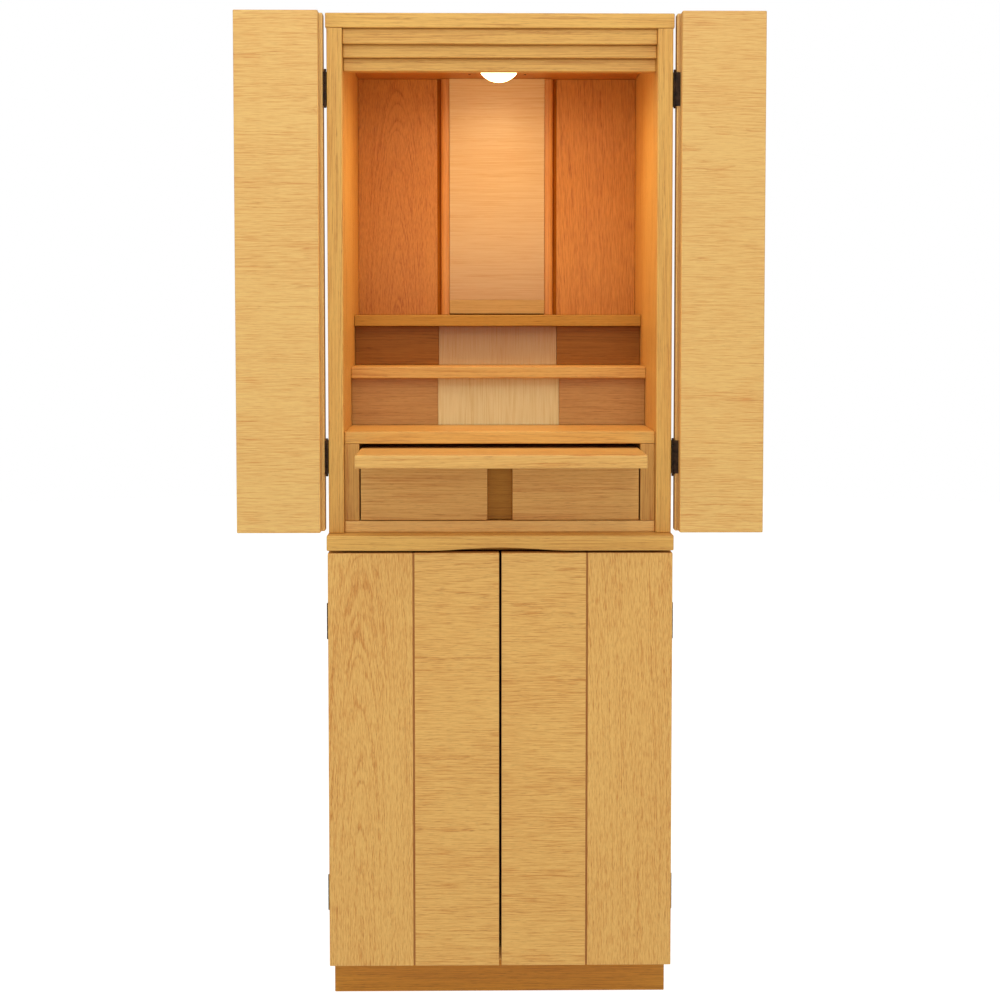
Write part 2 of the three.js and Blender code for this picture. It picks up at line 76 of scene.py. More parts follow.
def rounded_outline(low, high, radius, steps=4, hold=1.0 * mm):
    """A rectangle with round corners, anticlockwise, as an array of points.

    Corner k turns through a quarter circle: centre + radius * (cos t, sin t), t from k to k + 1
    right angles. One more point lies a short way along the straight on each side of an arc, so
    that the flat faces are shaded flat.
    """
    low, high = np.asarray(low, float), np.asarray(high, float)
    hold = min(hold, hold_share * float(np.min(high - low) - 2 * radius))
    turns = (np.arange(4)[:, None] + np.linspace(0, 1, steps + 1)[None, :]) * (math.pi / 2)
    toward_high = np.array([[1, 1], [0, 1], [0, 0], [1, 0]], float)
    corner = np.where(toward_high == 1, high, low)
    centre = corner + np.where(toward_high == 1, -radius, radius)
    arc = centre[:, None, :] + radius * np.stack([np.cos(turns), np.sin(turns)], -1)
    first, last = turns[:, 0], turns[:, -1]
    before = arc[:, 0] - hold * np.stack([-np.sin(first), np.cos(first)], -1)
    after = arc[:, -1] + hold * np.stack([-np.sin(last), np.cos(last)], -1)
    return np.concatenate([before[:, None], arc, after[:, None]], 1).reshape(-1, 2)


def placed(outline, along, position):
    """Points of a flat outline put at a position along an axis; the outline lies across it."""
    points = np.empty((len(outline), 3))
    points[:, (along + 1) % 3] = outline[:, 0]
    points[:, (along + 2) % 3] = outline[:, 1]
    points[:, along] = position
    return points


def loft(sections):
    """A closed shell from outlines carried along a path.

    sections[i, j] is point j of outline i; it is joined with its neighbours j + 1 and i + 1,
    and the first and the last outline are closed by one face each.
    """
    sections = np.asarray(sections, float)
    count, around = sections.shape[:2]
    i, j = np.meshgrid(np.arange(count - 1), np.arange(around), indexing="ij")
    k = (j + 1) % around
    quads = np.stack([i * around + j, i * around + k, (i + 1) * around + k, (i + 1) * around + j], -1)
    faces = quads.reshape(-1, 4).tolist()
    faces.append(list(range(around))[::-1])
    faces.append(list(range((count - 1) * around, count * around)))
    return sections.reshape(-1, 3), faces


largest_radius = 0.45  # of a block's shortest side, so that some flat face is left
smallest_corner = 0.03  # of the radius, where an end's outline has shrunk by all of it


def rounded_block(low, high, radius, along=X, steps=4, hold=1.0 * mm):
    """A board with all its edges rounded, as an outline carried along one axis.

    At an end, the outline shrinks by radius * (1 - cos t) while it moves out by
    radius * sin t, t from 0 to a right angle, and its own corner radius is radius * cos t.
    """
    low, high = np.asarray(low, float), np.asarray(high, float)
    u, v = (along + 1) % 3, (along + 2) % 3
    size = high - low
    radius = min(radius, largest_radius * float(size.min()))
    hold = min(hold, hold_share * (float(size.min()) - 2 * radius))
    t = np.linspace(math.pi / 2, 0, steps + 1)
    shrink = radius * (1 - np.cos(t))
    outward = radius * (1 - np.sin(t))
    shrink = np.concatenate([[radius + hold], shrink, [0]])
    outward = np.concatenate([[0], outward, [radius + hold]])
    corner = np.maximum(radius - shrink, smallest_corner * radius)
    ring_hold = hold * 0.9  # a little less than the ends' own, so that no two points meet

    # The outline at a given inset from the block's box
    def outline(inset, corner_radius):
        start = (low[u] + inset, low[v] + inset)
        end = (high[u] - inset, high[v] - inset)
        return rounded_outline(start, end, corner_radius, steps, ring_hold)

    rings = [outline(*pair) for pair in zip(shrink, corner)]
    near = [placed(ring, along, low[along] + out) for ring, out in zip(rings, outward)]
    far = [placed(ring, along, high[along] - out) for ring, out in zip(rings, outward)]
    return loft(near + far[::-1])


def plate(low, high, radius=0.4 * mm):
    """A thin leaf of metal or wood: a rounded block carried upwards, with smaller edges."""
    return rounded_block(low, high, radius, Z, 2, 0.2 * mm)


pole = 0.02 * mm  # a round piece is closed by a ring of this radius where its profile meets the axis


def turned(profile, centre, along=Z, around=24):
    """A round piece: the profile's (radius, position) pairs swept about an axis through centre.

    A pair gives a ring of points radius * (cos a, sin a), a in equal steps over a whole turn.
    """
    angle = np.linspace(0, 2 * math.pi, around, endpoint=False)
    circle = np.stack([np.cos(angle), np.sin(angle)], -1)
    profile = np.asarray(profile, float)
    if profile[0, 1] > profile[-1, 1]:
        profile = profile[::-1]
    sections = [placed(circle * max(radius, pole), along, position) for radius, position in profile]
    points, faces = loft(sections)
    offset = np.array(centre, float)
    offset[along] = 0.0
    return points + offset, faces


# Where a board lies in its tree when nothing else is asked, as ranges to draw from: side, depth
# and start in metres, tilt in metres for each metre along the grain
chance = np.random.default_rng(11)
usual_side = (0.10, 0.20)
usual_depth = (0.09, 0.16)
usual_tilt = (-0.02, 0.02)
usual_start = (0.5, 4.0)


def wood(shell, along, across, side=None, depth=None, tilt=None, tone=0.0):
    """Adds to a shell where each point lies in the tree that its board was cut from.

    The grain coordinates are: metres along the grain; metres sideways from the heart of the
    trunk; and metres up from the heart, which grows by tilt for each metre along the grain.
    A board cut beside the heart (side far from 0) has straight lines, one cut over it
    (side near 0) has pointed arches. The tone darkens the board towards red-brown: a darker stain
    on some boards, and painted shade on others. It is one value, or a pair for its lowest and its
    highest point, with the points between them in proportion.
    """
    points, faces = shell
    middle = (points.min(0) + points.max(0)) / 2
    through = 3 - along - across
    side = chance.uniform(*usual_side) if side is None else side
    depth = chance.uniform(*usual_depth) if depth is None else depth
    tilt = chance.uniform(*usual_tilt) if tilt is None else tilt
    start = chance.uniform(*usual_start)
    grain = np.empty_like(points)
    grain[:, 0] = points[:, along] - middle[along]
    grain[:, 1] = points[:, across] - middle[across] + side
    grain[:, 2] = points[:, through] - middle[through] + depth + tilt * grain[:, 0]
    grain[:, 0] += start
    height = points[:, Z]
    tones = np.interp(height, [height.min(), height.max()], np.broadcast_to(tone, 2))
    return points, faces, grain, tones


def piece(name, shells, material, *nodes, body=None, slot=None):
    """One object from closed shells; it stands for CAD nodes, or rides on a body by name.

    A shell without wood's grain and tone takes its points as the grain, and tone 0.
    """
    points, faces, grains, tones = [], [], [], []
    count = 0
    for shell in shells:
        points.append(shell[0])
        faces += [[index + count for index in face] for face in shell[1]]
        count += len(shell[0])
        grains.append(shell[2] if len(shell) > 2 else shell[0])
        tones.append(shell[3] if len(shell) > 3 else np.zeros(len(shell[0])))
    mesh = bpy.data.meshes.new(name)
    mesh.from_pydata(np.concatenate(points).tolist(), [], faces)
    mesh.shade_smooth()
    grain = mesh.attributes.new("grain", "FLOAT_VECTOR", "POINT")
    grain.data.foreach_set("vector", np.concatenate(grains).astype(np.float32).ravel())
    tone = mesh.attributes.new("tone", "FLOAT", "POINT")
    tone.data.foreach_set("value", np.concatenate(tones).astype(np.float32))
    mesh.materials.append(material)
    thing = bpy.data.objects.new(name, mesh)
    scene.collection.objects.link(thing)
    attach(thing, body or body_of[nodes[0]])
    if nodes:
        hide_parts(*nodes)


def dashed(node):
    """The name of the piece that stands for a node."""
    return node.replace("_", "-")


def box_of(node):
    """A node's lowest and highest corner, as two arrays that may be changed."""
    low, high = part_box(node)
    return np.array(low), np.array(high)


# Materials
def linear(colour):
    """An sRGB hex colour as linear red, green, blue and alpha.

    Up to 0.04045 a channel is divided by 12.92, above it is ((value + 0.055) / 1.055) ^ 2.4.
    """
    value = np.array([int(colour[k : k + 2], 16) for k in (1, 3, 5)]) / 255
    low = value / 12.92
    high = ((value + 0.055) / 1.055) ** 2.4
    return (*np.where(value <= 0.04045, low, high).tolist(), 1.0)


def add(tree, kind, settings=None, stops=(), **links):
    """Adds a node; settings are its properties, links its inputs as values or sockets.

    An input is named by its label with spaces as underscores, or as in_0, in_1 by its place.
    The stops of a colour ramp are (place, hex colour) pairs.
    """
    node = tree.nodes.new("ShaderNode" + kind)
    for key, value in (settings or {}).items():
        setattr(node, key, value)
    if stops:
        band = node.color_ramp
        while len(band.elements) < len(stops):
            band.elements.new(0.5)
        for element, (place, colour) in zip(band.elements, stops):
            element.position = place
            element.color = linear(colour)
    for key, value in links.items():
        if key.startswith("in_"):
            socket = node.inputs[int(key[3:])]
        else:
            socket = node.inputs[key.replace("_", " ")]
        if isinstance(value, bpy.types.NodeSocket):
            tree.links.new(value, socket)
        else:
            socket.default_value = value
    return node


def new_material(name):
    """An empty material and its node tree."""
    material = bpy.data.materials.new(name)
    material.use_nodes = True
    tree = material.node_tree
    tree.nodes.clear()
    return material, tree


# Settings that many nodes share
times = {"operation": "MULTIPLY"}
times_plus = {"operation": "MULTIPLY_ADD"}
one_way = {"noise_dimensions": "1D"}
of_colours = {"data_type": "RGBA"}

# The tone's red-brown is a stain on some boards and painted shade on others
stain_and_shade = "#8a3c05"  # the red-brown that a board's tone leads to

# How strong a ring is over one year: it comes quickly and fades slowly
ring_profile = [(0.0, "#ffffff"), (0.25, "#a0a0a0"), (0.5, "#202020"), (0.8, "#000000"), (1.0, "#ffffff")]

# The noises of a board, by their patches for each metre along the grain and then across it both
# ways, with their detail and roughness
board_noises = (
    ((2.5, 11, 11), 1.0, 0.5),  # wander, which bends the rings over the length of a board
    ((30, 90, 90), 1.0, 0.5),  # ripple, which makes their lines unsteady
    ((8.0, 60, 60), 1.0, 0.5),  # strength, in which rings fade in and out
    ((11, 1000, 1000), 1.0, 0.7),  # fibre, in streaks 90 mm long and 1 mm wide
    ((80, 1700, 1700), 1.0, 0.5),  # pores, 12 mm long and 0.6 mm wide
    ((3.0, 16, 16), 2.0, 0.5),  # slow changes of tone
)


def oak_veneer(name, pale, deep, pore, ring=3.2, figure=0.5, pores=0.5, fibre=2.2,
               roughness=0.44, gloss=0.32):
    """Sliced oak veneer under satin lacquer.

    The eye sees growth rings ring mm apart, sharp on one side and fading on the other, short
    dark pores along them, fine fibre, and slow changes of tone; the lacquer gives a soft gloss.
    Pores are 0.3 mm wide in real oak and are drawn about 0.6 mm wide so that they show.
    """
    material, tree = new_material(name)
    grain = add(tree, "Attribute", {"attribute_name": "grain"}).outputs["Vector"]
    tone = add(tree, "Attribute", {"attribute_name": "tone"}).outputs["Fac"]
    across = add(tree, "VectorMath", times, in_0=grain, in_1=(0, 1, 1)).outputs[0]
    radius = add(tree, "VectorMath", {"operation": "LENGTH"}, in_0=across).outputs["Value"]
    years = add(tree, "TexNoise", one_way, W=radius, Scale=170.0, Detail=1.0).outputs[0]
    noises = []
    for scale, detail, rough in board_noises:
        place = add(tree, "VectorMath", times, in_0=grain, in_1=scale).outputs[0]
        node = add(tree, "TexNoise", Vector=place, Scale=1.0, Detail=detail, Roughness=rough)
        noises.append(node.outputs["Fac"])
    wander, ripple, strength, streaks, pore_noise, slow = noises

    # The phase counts the rings from the heart; each wave shifts it by up to its number of rings
    phase = add(tree, "Math", times, in_0=radius, in_1=1000 / ring).outputs[0]
    for wave, most in ((wander, 3.5), (ripple, 0.8), (years, 3.0)):
        phase = add(tree, "Math", times_plus, in_0=wave, in_1=most, in_2=phase).outputs[0]
    share = add(tree, "Math", {"operation": "FRACT"}, in_0=phase).outputs[0]
    rings = add(tree, "ValToRGB", stops=ring_profile, Fac=share).outputs[0]

    # A ring's own strength is the weakest and up to own_range more; it fades along the board
    weakest, own_range = 0.4, 0.7
    number = add(tree, "Math", {"operation": "FLOOR"}, in_0=phase).outputs[0]
    own = add(tree, "TexWhiteNoise", one_way, W=number).outputs[0]
    own = add(tree, "Math", times_plus, in_0=own, in_1=own_range, in_2=weakest).outputs[0]
    strength = add(tree, "MapRange", Value=strength, From_Min=0.3, From_Max=0.65, To_Min=0.3).outputs[0]
    strength = add(tree, "Math", times, in_0=strength, in_1=own).outputs[0]
    rings = add(tree, "Math", times, in_0=rings, in_1=strength).outputs[0]

    # Pores lie everywhere, and crowd where a ring is strong
    elsewhere, in_rings = 0.35, 0.9
    crowd = add(tree, "Math", times_plus, in_0=rings, in_1=in_rings, in_2=elsewhere).outputs[0]
    mask = add(tree, "MapRange", {"interpolation_type": "SMOOTHSTEP"}, Value=pore_noise,
               From_Min=0.52, From_Max=0.66).outputs[0]
    mask = add(tree, "Math", {**times, "use_clamp": True}, in_0=mask, in_1=crowd).outputs[0]

    # The amount of the deep colour: rings, streaks and slow changes, about a mean of some 0.2
    level, slow_range = -0.22 - fibre / 2, 0.7
    amount = add(tree, "Math", times_plus, in_0=rings, in_1=figure, in_2=level).outputs[0]
    amount = add(tree, "Math", times_plus, in_0=streaks, in_1=fibre, in_2=amount).outputs[0]
    amount = add(tree, "Math", {**times_plus, "use_clamp": True},
                 in_0=slow, in_1=slow_range, in_2=amount).outputs[0]
    colour = add(tree, "Mix", of_colours, Factor=amount, in_6=linear(pale), in_7=linear(deep)).outputs[2]
    dark = add(tree, "Math", times, in_0=mask, in_1=pores).outputs[0]
    colour = add(tree, "Mix", of_colours, Factor=dark, in_6=colour, in_7=linear(pore)).outputs[2]
    colour = add(tree, "Mix", of_colours, Factor=tone, in_6=colour, in_7=linear(stain_and_shade)).outputs[2]

    # Pores are open and duller than the lacquer between them; rings are a little sunk
    ring_depth, pore_rough = 0.35, 0.14
    depth = add(tree, "Math", times_plus, in_0=rings, in_1=ring_depth, in_2=mask).outputs[0]
    bump = add(tree, "Bump", {"invert": True}, Strength=0.35, Distance=0.15 * mm, Height=depth).outputs[0]
    rough = add(tree, "Math", times_plus, in_0=mask, in_1=pore_rough, in_2=roughness).outputs[0]
    shader = add(tree, "BsdfPrincipled", Base_Color=colour, Roughness=rough, Normal=bump,
                 Specular_IOR_Level=gloss, Coat_Weight=0.2 * gloss, Coat_Roughness=0.3)
    add(tree, "OutputMaterial", Surface=shader.outputs[0])
    return material


def bronze_finish(name, bright, dark):
    """Steel with a dark bronze finish: near black, with brown where it is handled.

    Its clouds are 7 mm wide; its grit is 0.6 mm wide, coarser than real so that it shows.
    """
    material, tree = new_material(name)
    place = add(tree, "TexCoord").outputs["Object"]
    cloud = add(tree, "TexNoise", Vector=place, Scale=140.0, Detail=3.0, Roughness=0.6).outputs["Fac"]
    colour = add(tree, "ValToRGB", stops=[(0.35, dark), (0.68, bright)], Fac=cloud).outputs[0]
    fine = add(tree, "TexNoise", Vector=place, Scale=1800.0, Detail=2.0).outputs["Fac"]
    rough = add(tree, "MapRange", Value=fine, To_Min=0.36, To_Max=0.56).outputs[0]
    bump = add(tree, "Bump", Strength=0.15, Distance=0.05 * mm, Height=fine).outputs[0]
    shader = add(tree, "BsdfPrincipled", Base_Color=colour, Metallic=0.2, Roughness=rough, Normal=bump,
                 Specular_IOR_Level=0.15)
    add(tree, "OutputMaterial", Surface=shader.outputs[0])
    return material


def frosted_shade(name, glow, strength):
    """Frosted acrylic over a warm lamp: evenly bright, a little warmer towards its rim.

    The frost's grain is 1 mm wide.
    """
    material, tree = new_material(name)
    edge = add(tree, "LayerWeight", Blend=0.35).outputs["Facing"]
    warmth = [(0.0, "#ffd8a0"), (0.75, glow), (1.0, "#ffb866")]
    colour = add(tree, "ValToRGB", stops=warmth, Fac=edge).outputs[0]
    place = add(tree, "TexCoord").outputs["Object"]
    frost = add(tree, "TexNoise", Vector=place, Scale=900.0, Detail=2.0).outputs["Fac"]
    bump = add(tree, "Bump", Strength=0.1, Distance=0.05 * mm, Height=frost).outputs[0]
    shader = add(tree, "BsdfPrincipled", Base_Color=linear("#f6efe2"), Roughness=0.38, Normal=bump,
                 Emission_Color=colour, Emission_Strength=strength)
    add(tree, "OutputMaterial", Surface=shader.outputs[0])
    return material


def white_plastic(name):
    """Moulded ABS: a white rim with a fine grain, yellowed a little by the lamp.

    The yellowing comes and goes over 17 mm; the mould's grain is 0.5 mm wide.
    """
    material, tree = new_material(name)
    place = add(tree, "TexCoord").outputs["Object"]
    cloud = add(tree, "TexNoise", Vector=place, Scale=60.0, Detail=3.0).outputs["Fac"]
    colour = add(tree, "ValToRGB", stops=[(0.3, "#e9dcc4"), (0.7, "#f2e8d6")], Fac=cloud).outputs[0]
    grain = add(tree, "TexNoise", Vector=place, Scale=2200.0, Detail=1.0).outputs["Fac"]
    bump = add(tree, "Bump", Strength=0.1, Distance=0.05 * mm, Height=grain).outputs[0]
    shader = add(tree, "BsdfPrincipled", Base_Color=colour, Roughness=0.42, Normal=bump)
    add(tree, "OutputMaterial", Surface=shader.outputs[0])
    return material


# Leaves and doors: straw-coloured, with lively fibre
leaf_oak = oak_veneer("oak_veneer_leaves", "#edc272", "#da974d", "#b87438", ring=3.1, figure=0.6,
                      pores=0.4, fibre=2.3)
door_oak = oak_veneer("oak_veneer_doors", "#eab966", "#d08c40", "#a05e28", ring=3.1, figure=0.65,
                      fibre=2.6)
# Body boards: a little darker, with clearer rings
body_oak = oak_veneer("oak_veneer_body", "#e6b45b", "#c6863a", "#94582a", figure=0.7, pores=0.45)
# The lined chamber and its trims: warm, orange in the lamp's light
inner_oak = oak_veneer("oak_veneer_lined_chamber", "#d69239", "#b26820", "#7a4012", ring=3.0, figure=0.65,
                       pores=0.35)
trim_oak = oak_veneer("oak_veneer_trims", "#de9c4e", "#be7531", "#8a4c1c", pores=0.3)
# Boards at the back: brown and almost without gloss, so that they stay dark; on riser 1 they
# are painted shade
dark_oak = oak_veneer("oak_veneer_shaded_boards", "#9c6222", "#7a4813", "#5c300e", ring=3.4, gloss=0.12)
# Painted shade: a darker copy of the oak for shelf 1 and the drawer's recess, which lie in shade
painted_shade_oak = oak_veneer("oak_veneer_painted_shade", "#bc8836", "#9c6824", "#6c4216", gloss=0.12)
# Painted shade: the grooves beside the trims, dark red-brown and without gloss
groove_shade_oak = oak_veneer("oak_veneer_painted_groove_shade", "#b66614", "#9a4e08", "#5c2804", ring=3.4,
                         gloss=0.02)
# Rail, foot strip, risers and plinth: each a shade of its own. The rail's is painted light,
# paler than the body where the tray shades it; the riser's and the plinth's are painted shade,
# darker than the body's.
rail_painted_light_oak = oak_veneer("oak_veneer_rail_painted_light", "#fbcf7c", "#e8b060", "#a87038")
foot_oak = oak_veneer("oak_veneer_foot_strip", "#cda75c", "#b68c42", "#8a6430", pores=0.3)
riser_shade_oak = oak_veneer("oak_veneer_riser", "#c4924e", "#a66c32", "#744418")
plinth_shade_oak = oak_veneer("oak_veneer_plinth_painted_shade", "#d4902c", "#ac681a", "#6c3c0c", ring=3.4)
# Pale panels: creamy and smooth, with wide, weak rings and hardly a pore
pale_veneer = oak_veneer("figured_pale_veneer", "#eed496", "#dcb470", "#b98650", ring=4.5, pores=0.12,
                         roughness=0.36)
riser_veneer = oak_veneer("figured_riser_veneer", "#e6d298", "#d4b472", "#b9905a", ring=5.5, pores=0.12,
                          roughness=0.36, gloss=0.2)
bronze = bronze_finish("steel_dark_bronze_finish", "#4a3524", "#1d1610")
shade = frosted_shade("acrylic_frosted_lit", "#ffc98a", 16.5)
rim_plastic = white_plastic("abs_white_moulded")


# Boards
def board(node, material, along, across, radius=1.0 * mm, **cut):
    """A board that fills its CAD node's box, with rounded edges and its own run of grain."""
    low, high = box_of(node)
    sweep = int(np.argmax(high - low))
    shell = wood(rounded_block(low, high, radius, sweep), along, across, **cut)
    piece(dashed(node), [shell], material, node)


# Body and cupboard
# The partitions' tone is painted shade, for the shade under the tray
for label in ("left", "right"):
    board("lower_side_" + label, body_oak, Z, Y)
    board("upper_side_" + label, body_oak, Z, Y, 1.3 * mm)
    board("partition_" + label, body_oak, Z, Y, 0.8 * mm, tone=0.22)
board("lower_bottom", body_oak, X, Y)
board("lower_back", dark_oak, Z, X, 0.5 * mm, side=0.05)
board("top_board", body_oak, X, Y, 1.4 * mm)
for number in (1, 2, 3):
    board("header_lath_%d" % number, body_oak, X, Y, 1.2 * mm, tone=0.08)
board("ceiling_board", inner_oak, X, Y, 0.5 * mm)
# Shelf 1 is in the darker oak as painted shade
board("shelf_1", painted_shade_oak, X, Y, 1.2 * mm)
board("shelf_2", body_oak, X, Y, 1.2 * mm, tone=0.08)
board("shelf_3", body_oak, X, Y, 1.2 * mm, tone=0.02)
# The rail's pale colour is painted light, for light that the tray shades from it
board("bottom_rail", rail_painted_light_oak, X, Y, 1.0 * mm)
board("tray_floor", body_oak, X, Y, 0.5 * mm)
board("pull_out_tray", door_oak, X, Y, 2.0 * mm)

# Back wall of the chamber: each panel reaches a little into the groove beside it. The left one
# is cut over the heart, and painted shade makes it a little darker towards its foot.
into_groove = 1.2 * mm
low, high = box_of("back_panel_left")
high[X] += into_groove
panel = wood(rounded_block(low, high, 0.4 * mm, Z), Z, X, 0.0, 0.026, 0.1, (0.15, 0.03))
piece("back-panel-left", [panel], inner_oak, "back_panel_left")
low, high = box_of("back_panel_right")
low[X] -= into_groove
panel = wood(rounded_block(low, high, 0.4 * mm, Z), Z, X, 0.08, 0.05, 0.05)
piece("back-panel-right", [panel], inner_oak, "back_panel_right")

# The centre board stands on a strip of its own, a little proud of it
low, high = box_of("back_centre_board")
foot = 22 * mm
lifted = 1.8 * mm
proud = 0.8 * mm
joint = 0.1 * mm
spare = 0.25 * mm  # the board closes up to the trims beside it
low[X] -= spare
high[X] += spare
shell = rounded_block((low[X], low[Y] + proud, low[Z] + foot), high, 0.3 * mm, Z)
# Its tone is painted shade: darker towards its foot, where the lamp's light falls off
piece("back-centre-board", [wood(shell, X, Z, tone=(0.4, 0.0))], pale_veneer, "back_centre_board")
foot_low, foot_high = (low[X], low[Y], low[Z] + lifted), (high[X], high[Y], low[Z] + foot - joint)
shell = rounded_block(foot_low, foot_high, 0.4 * mm, X)
piece("back-centre-foot", [wood(shell, X, Z)], foot_oak, body="carcass", slot="oak_pale")

# The panels' tones are painted shade, darker towards their top under the shelf above; riser 1's is deepest
board("riser_panel_1", riser_veneer, Z, X, 0.3 * mm, tone=(0.42, 0.72))
board("riser_panel_2", riser_veneer, Z, X, 0.3 * mm, tone=(0.0, 0.08))


def half_round(node, board_side, steps=12):
    """A trim with a full, rounded front, as an outline carried upwards.

    x = middle + half * cos t, y = front + rise * (1 - sin(t) ^ 0.6), t over half a turn. The
    rise is small on the side where the centre board lies, and large on the groove's side.
    """
    low, high = box_of(node)
    spread = 1.5 * mm  # the trim fills a part of the groove
    board_rise, groove_rise = 1.2 * mm, 5.5 * mm
    flat = 1 * mm
    if board_side > 0:
        low[X] -= spread
    else:
        high[X] += spread
    half = (high[X] - low[X]) / 2
    middle = (high[X] + low[X]) / 2
    t = np.linspace(math.pi, 0, steps + 1)
    rise = np.where(np.cos(t) * board_side > 0, board_rise, groove_rise)
    bulge = np.clip(np.sin(t), 0, 1) ** 0.6
    arc = np.stack([middle + half * np.cos(t), low[Y] + rise * (1 - bulge)], -1)
    straight = np.array([
        [high[X], low[Y] + rise[-1] + flat],
        [high[X], high[Y]],
        [low[X], high[Y]],
        [low[X], low[Y] + rise[0] + flat],
    ])
    outline = np.concatenate([arc, straight])
    levels = (low[Z], low[Z] + flat, high[Z] - flat, high[Z])
    return loft([placed(outline, Z, level) for level in levels])


# The upper back board shows between the panels and the trims, where it is painted dark as shade
groove_near, groove_far = 80.5 * mm, 89.3 * mm
groove_bottom, groove_top = 912.5 * mm, 1257 * mm
sheet = 0.4 * mm
low, high = box_of("upper_back")
shell = rounded_block((low[X], low[Y] + sheet, low[Z]), high, 0.5 * mm, Z)
piece("upper-back", [wood(shell, Z, X, side=-0.04)], dark_oak, "upper_back")
shells = []
for side in (-1, 1):
    start, end = sorted((side * groove_near, side * groove_far))
    strip = rounded_block((start, low[Y], groove_bottom), (end, low[Y] + sheet, groove_top), 0.1 * mm, Z)
    shells.append(wood(strip, Z, X))
piece("upper-back-grooves", shells, groove_shade_oak, body="carcass", slot=slot_of["upper_back"])

for label, side in (("left", -1), ("right", 1)):
    node = "back_trim_" + label
    piece(dashed(node), [wood(half_round(node, -side), Z, X)], trim_oak, node)

# Risers: two side boards and a thinner one behind the pale panel
gap = 0.3 * mm
# Painted shade: riser 1 takes the dark back boards for the shade under shelf 1, riser 2 a darker oak than
# the body's
for number, material in ((1, dark_oak), (2, riser_shade_oak)):
    node = "riser_%d" % number
    low, high = box_of(node)
    panel_low, panel_high = box_of("riser_panel_%d" % number)
    left_end, right_end = panel_low[X] - gap, panel_high[X] + gap
    boards = (
        (low[X], left_end, low[Y]),
        (right_end, high[X], low[Y]),
        (left_end, right_end, panel_high[Y] + gap),
    )
    shells = []
    for start, end, front in boards:
        block = rounded_block((start, front, low[Z]), (end, high[Y], high[Z]), 0.5 * mm, X)
        shells.append(wood(block, X, Z))
    piece(dashed(node), shells, material, node)

# Plinth: front and back board over the whole width, with the side boards between them
low, high = box_of("plinth_frame")
thick = 18 * mm
seam = 0.2 * mm
shells = []
for y in (low[Y], high[Y] - thick):
    block = rounded_block((low[X], y, low[Z]), (high[X], y + thick, high[Z]), 1 * mm, X)
    shells.append(wood(block, X, Z))
front, back = low[Y] + thick + seam, high[Y] - thick - seam
for x in (low[X], high[X] - thick):
    block = rounded_block((x, front, low[Z]), (x + thick, back, high[Z]), 1 * mm, Y)
    shells.append(wood(block, Y, Z))
# The plinth's colour is painted shade, darker than the body's
piece("plinth-frame", shells, plinth_shade_oak, "plinth_frame")


def waist_shell(node, arch_width=190 * mm, rise=4 * mm, reach=16 * mm, radius=1.4 * mm, steps=48):
    """The waist board: an outline in Y and Z carried along X.

    Under the front edge the outline is raised by rise / 2 * (1 + cos(2 pi x / width)) over the
    arch, as far back as reach; its corners are cut by quarter circles of the given radius.
    """
    low, high = box_of(node)
    t = np.linspace(0, math.pi / 2, 4)
    arch = np.linspace(-arch_width / 2, arch_width / 2, steps + 1)
    ends = np.array([0.0, 0.45 * mm, 1.4 * mm, 2.4 * mm])  # in from each end
    inset = np.array([1.4 * mm, 0.35 * mm, 0.0, 0.0])  # how far the outline has shrunk there
    step = 0.2 * mm  # the arch ends at the back in a short slope
    above = 0.01 * mm  # the front edge stays off the underside beside the arch
    corner_share = 0.9  # the corners shrink by this share of what the outline does
    x = np.concatenate([low[X] + ends, arch, high[X] - ends[::-1]])
    shrink = np.concatenate([inset, np.zeros(steps + 1), inset[::-1]])
    wave = rise / 2 * (1 + np.cos(2 * math.pi * x / arch_width))
    lift = np.where(np.abs(x) <= arch_width / 2, wave, 0.0) + above
    front, back, bottom, top = low[Y] + shrink, high[Y] - shrink, low[Z] + shrink, high[Z] - shrink
    sections = []
    for k in range(len(x)):
        corner = radius - shrink[k] * corner_share
        under = bottom[k] + lift[k]
        by_sine, by_cosine = corner * (1 - np.sin(t)), corner * (1 - np.cos(t))
        lower_front = np.stack([front[k] + by_sine, under + by_cosine], -1)[::-1]
        upper_back = np.stack([back[k] - by_cosine, top[k] - by_sine], -1)
        upper_front = np.stack([front[k] + by_sine, top[k] - by_cosine], -1)
        outline = np.concatenate([
            lower_front,
            [[front[k] + reach, under], [front[k] + reach + step, bottom[k]], [back[k], bottom[k]]],
            upper_back,
            upper_front,
        ])
        sections.append(placed(outline, X, x[k]))
    return loft(sections)


piece("waist-board", [wood(waist_shell("waist_board"), X, Y)], body_oak, "waist_board")

# Drawer front: two raised halves with a recess between them for the fingers
low, high = box_of("drawer_front")
grip, sink = 16.5 * mm, 9 * mm
shells = []
for start, end in ((low[X], -grip), (grip, high[X])):
    block = rounded_block((start, low[Y], low[Z]), (end, high[Y], high[Z]), 0.8 * mm, X)
    shells.append(wood(block, X, Z, side=0.21))
piece("drawer-front", shells, door_oak, "drawer_front")
# The recess is painted shade: the darker oak, with a little more tone
block = rounded_block((-grip, low[Y] + sink, low[Z]), (grip, high[Y], high[Z]), 0.8 * mm, X)
piece("drawer-front-recess", [wood(block, X, Z, tone=0.1)], painted_shade_oak,
      body=body_of["drawer_front"], slot=slot_of["drawer_front"])

# Drawer box: two sides, a front and a back wall between them, and a floor
low, high = box_of("drawer_box")
wall, floor = 9 * mm, 5 * mm
left, right = low[X] + wall, high[X] - wall
shells = []
for x in (low[X], right):
    block = rounded_block((x, low[Y], low[Z]), (x + wall, high[Y], high[Z]), 0.8 * mm, Y)
    shells.append(wood(block, Y, Z))
for y in (low[Y], high[Y] - wall):
    block = rounded_block((left, y, low[Z]), (right, y + wall, high[Z]), 0.8 * mm, X)
    shells.append(wood(block, X, Z))
block = rounded_block((left, low[Y] + wall, low[Z]), (right, high[Y] - wall, low[Z] + floor), 0.4 * mm, X)
shells.append(wood(block, X, Y))
piece("drawer-box", shells, pale_veneer, "drawer_box")

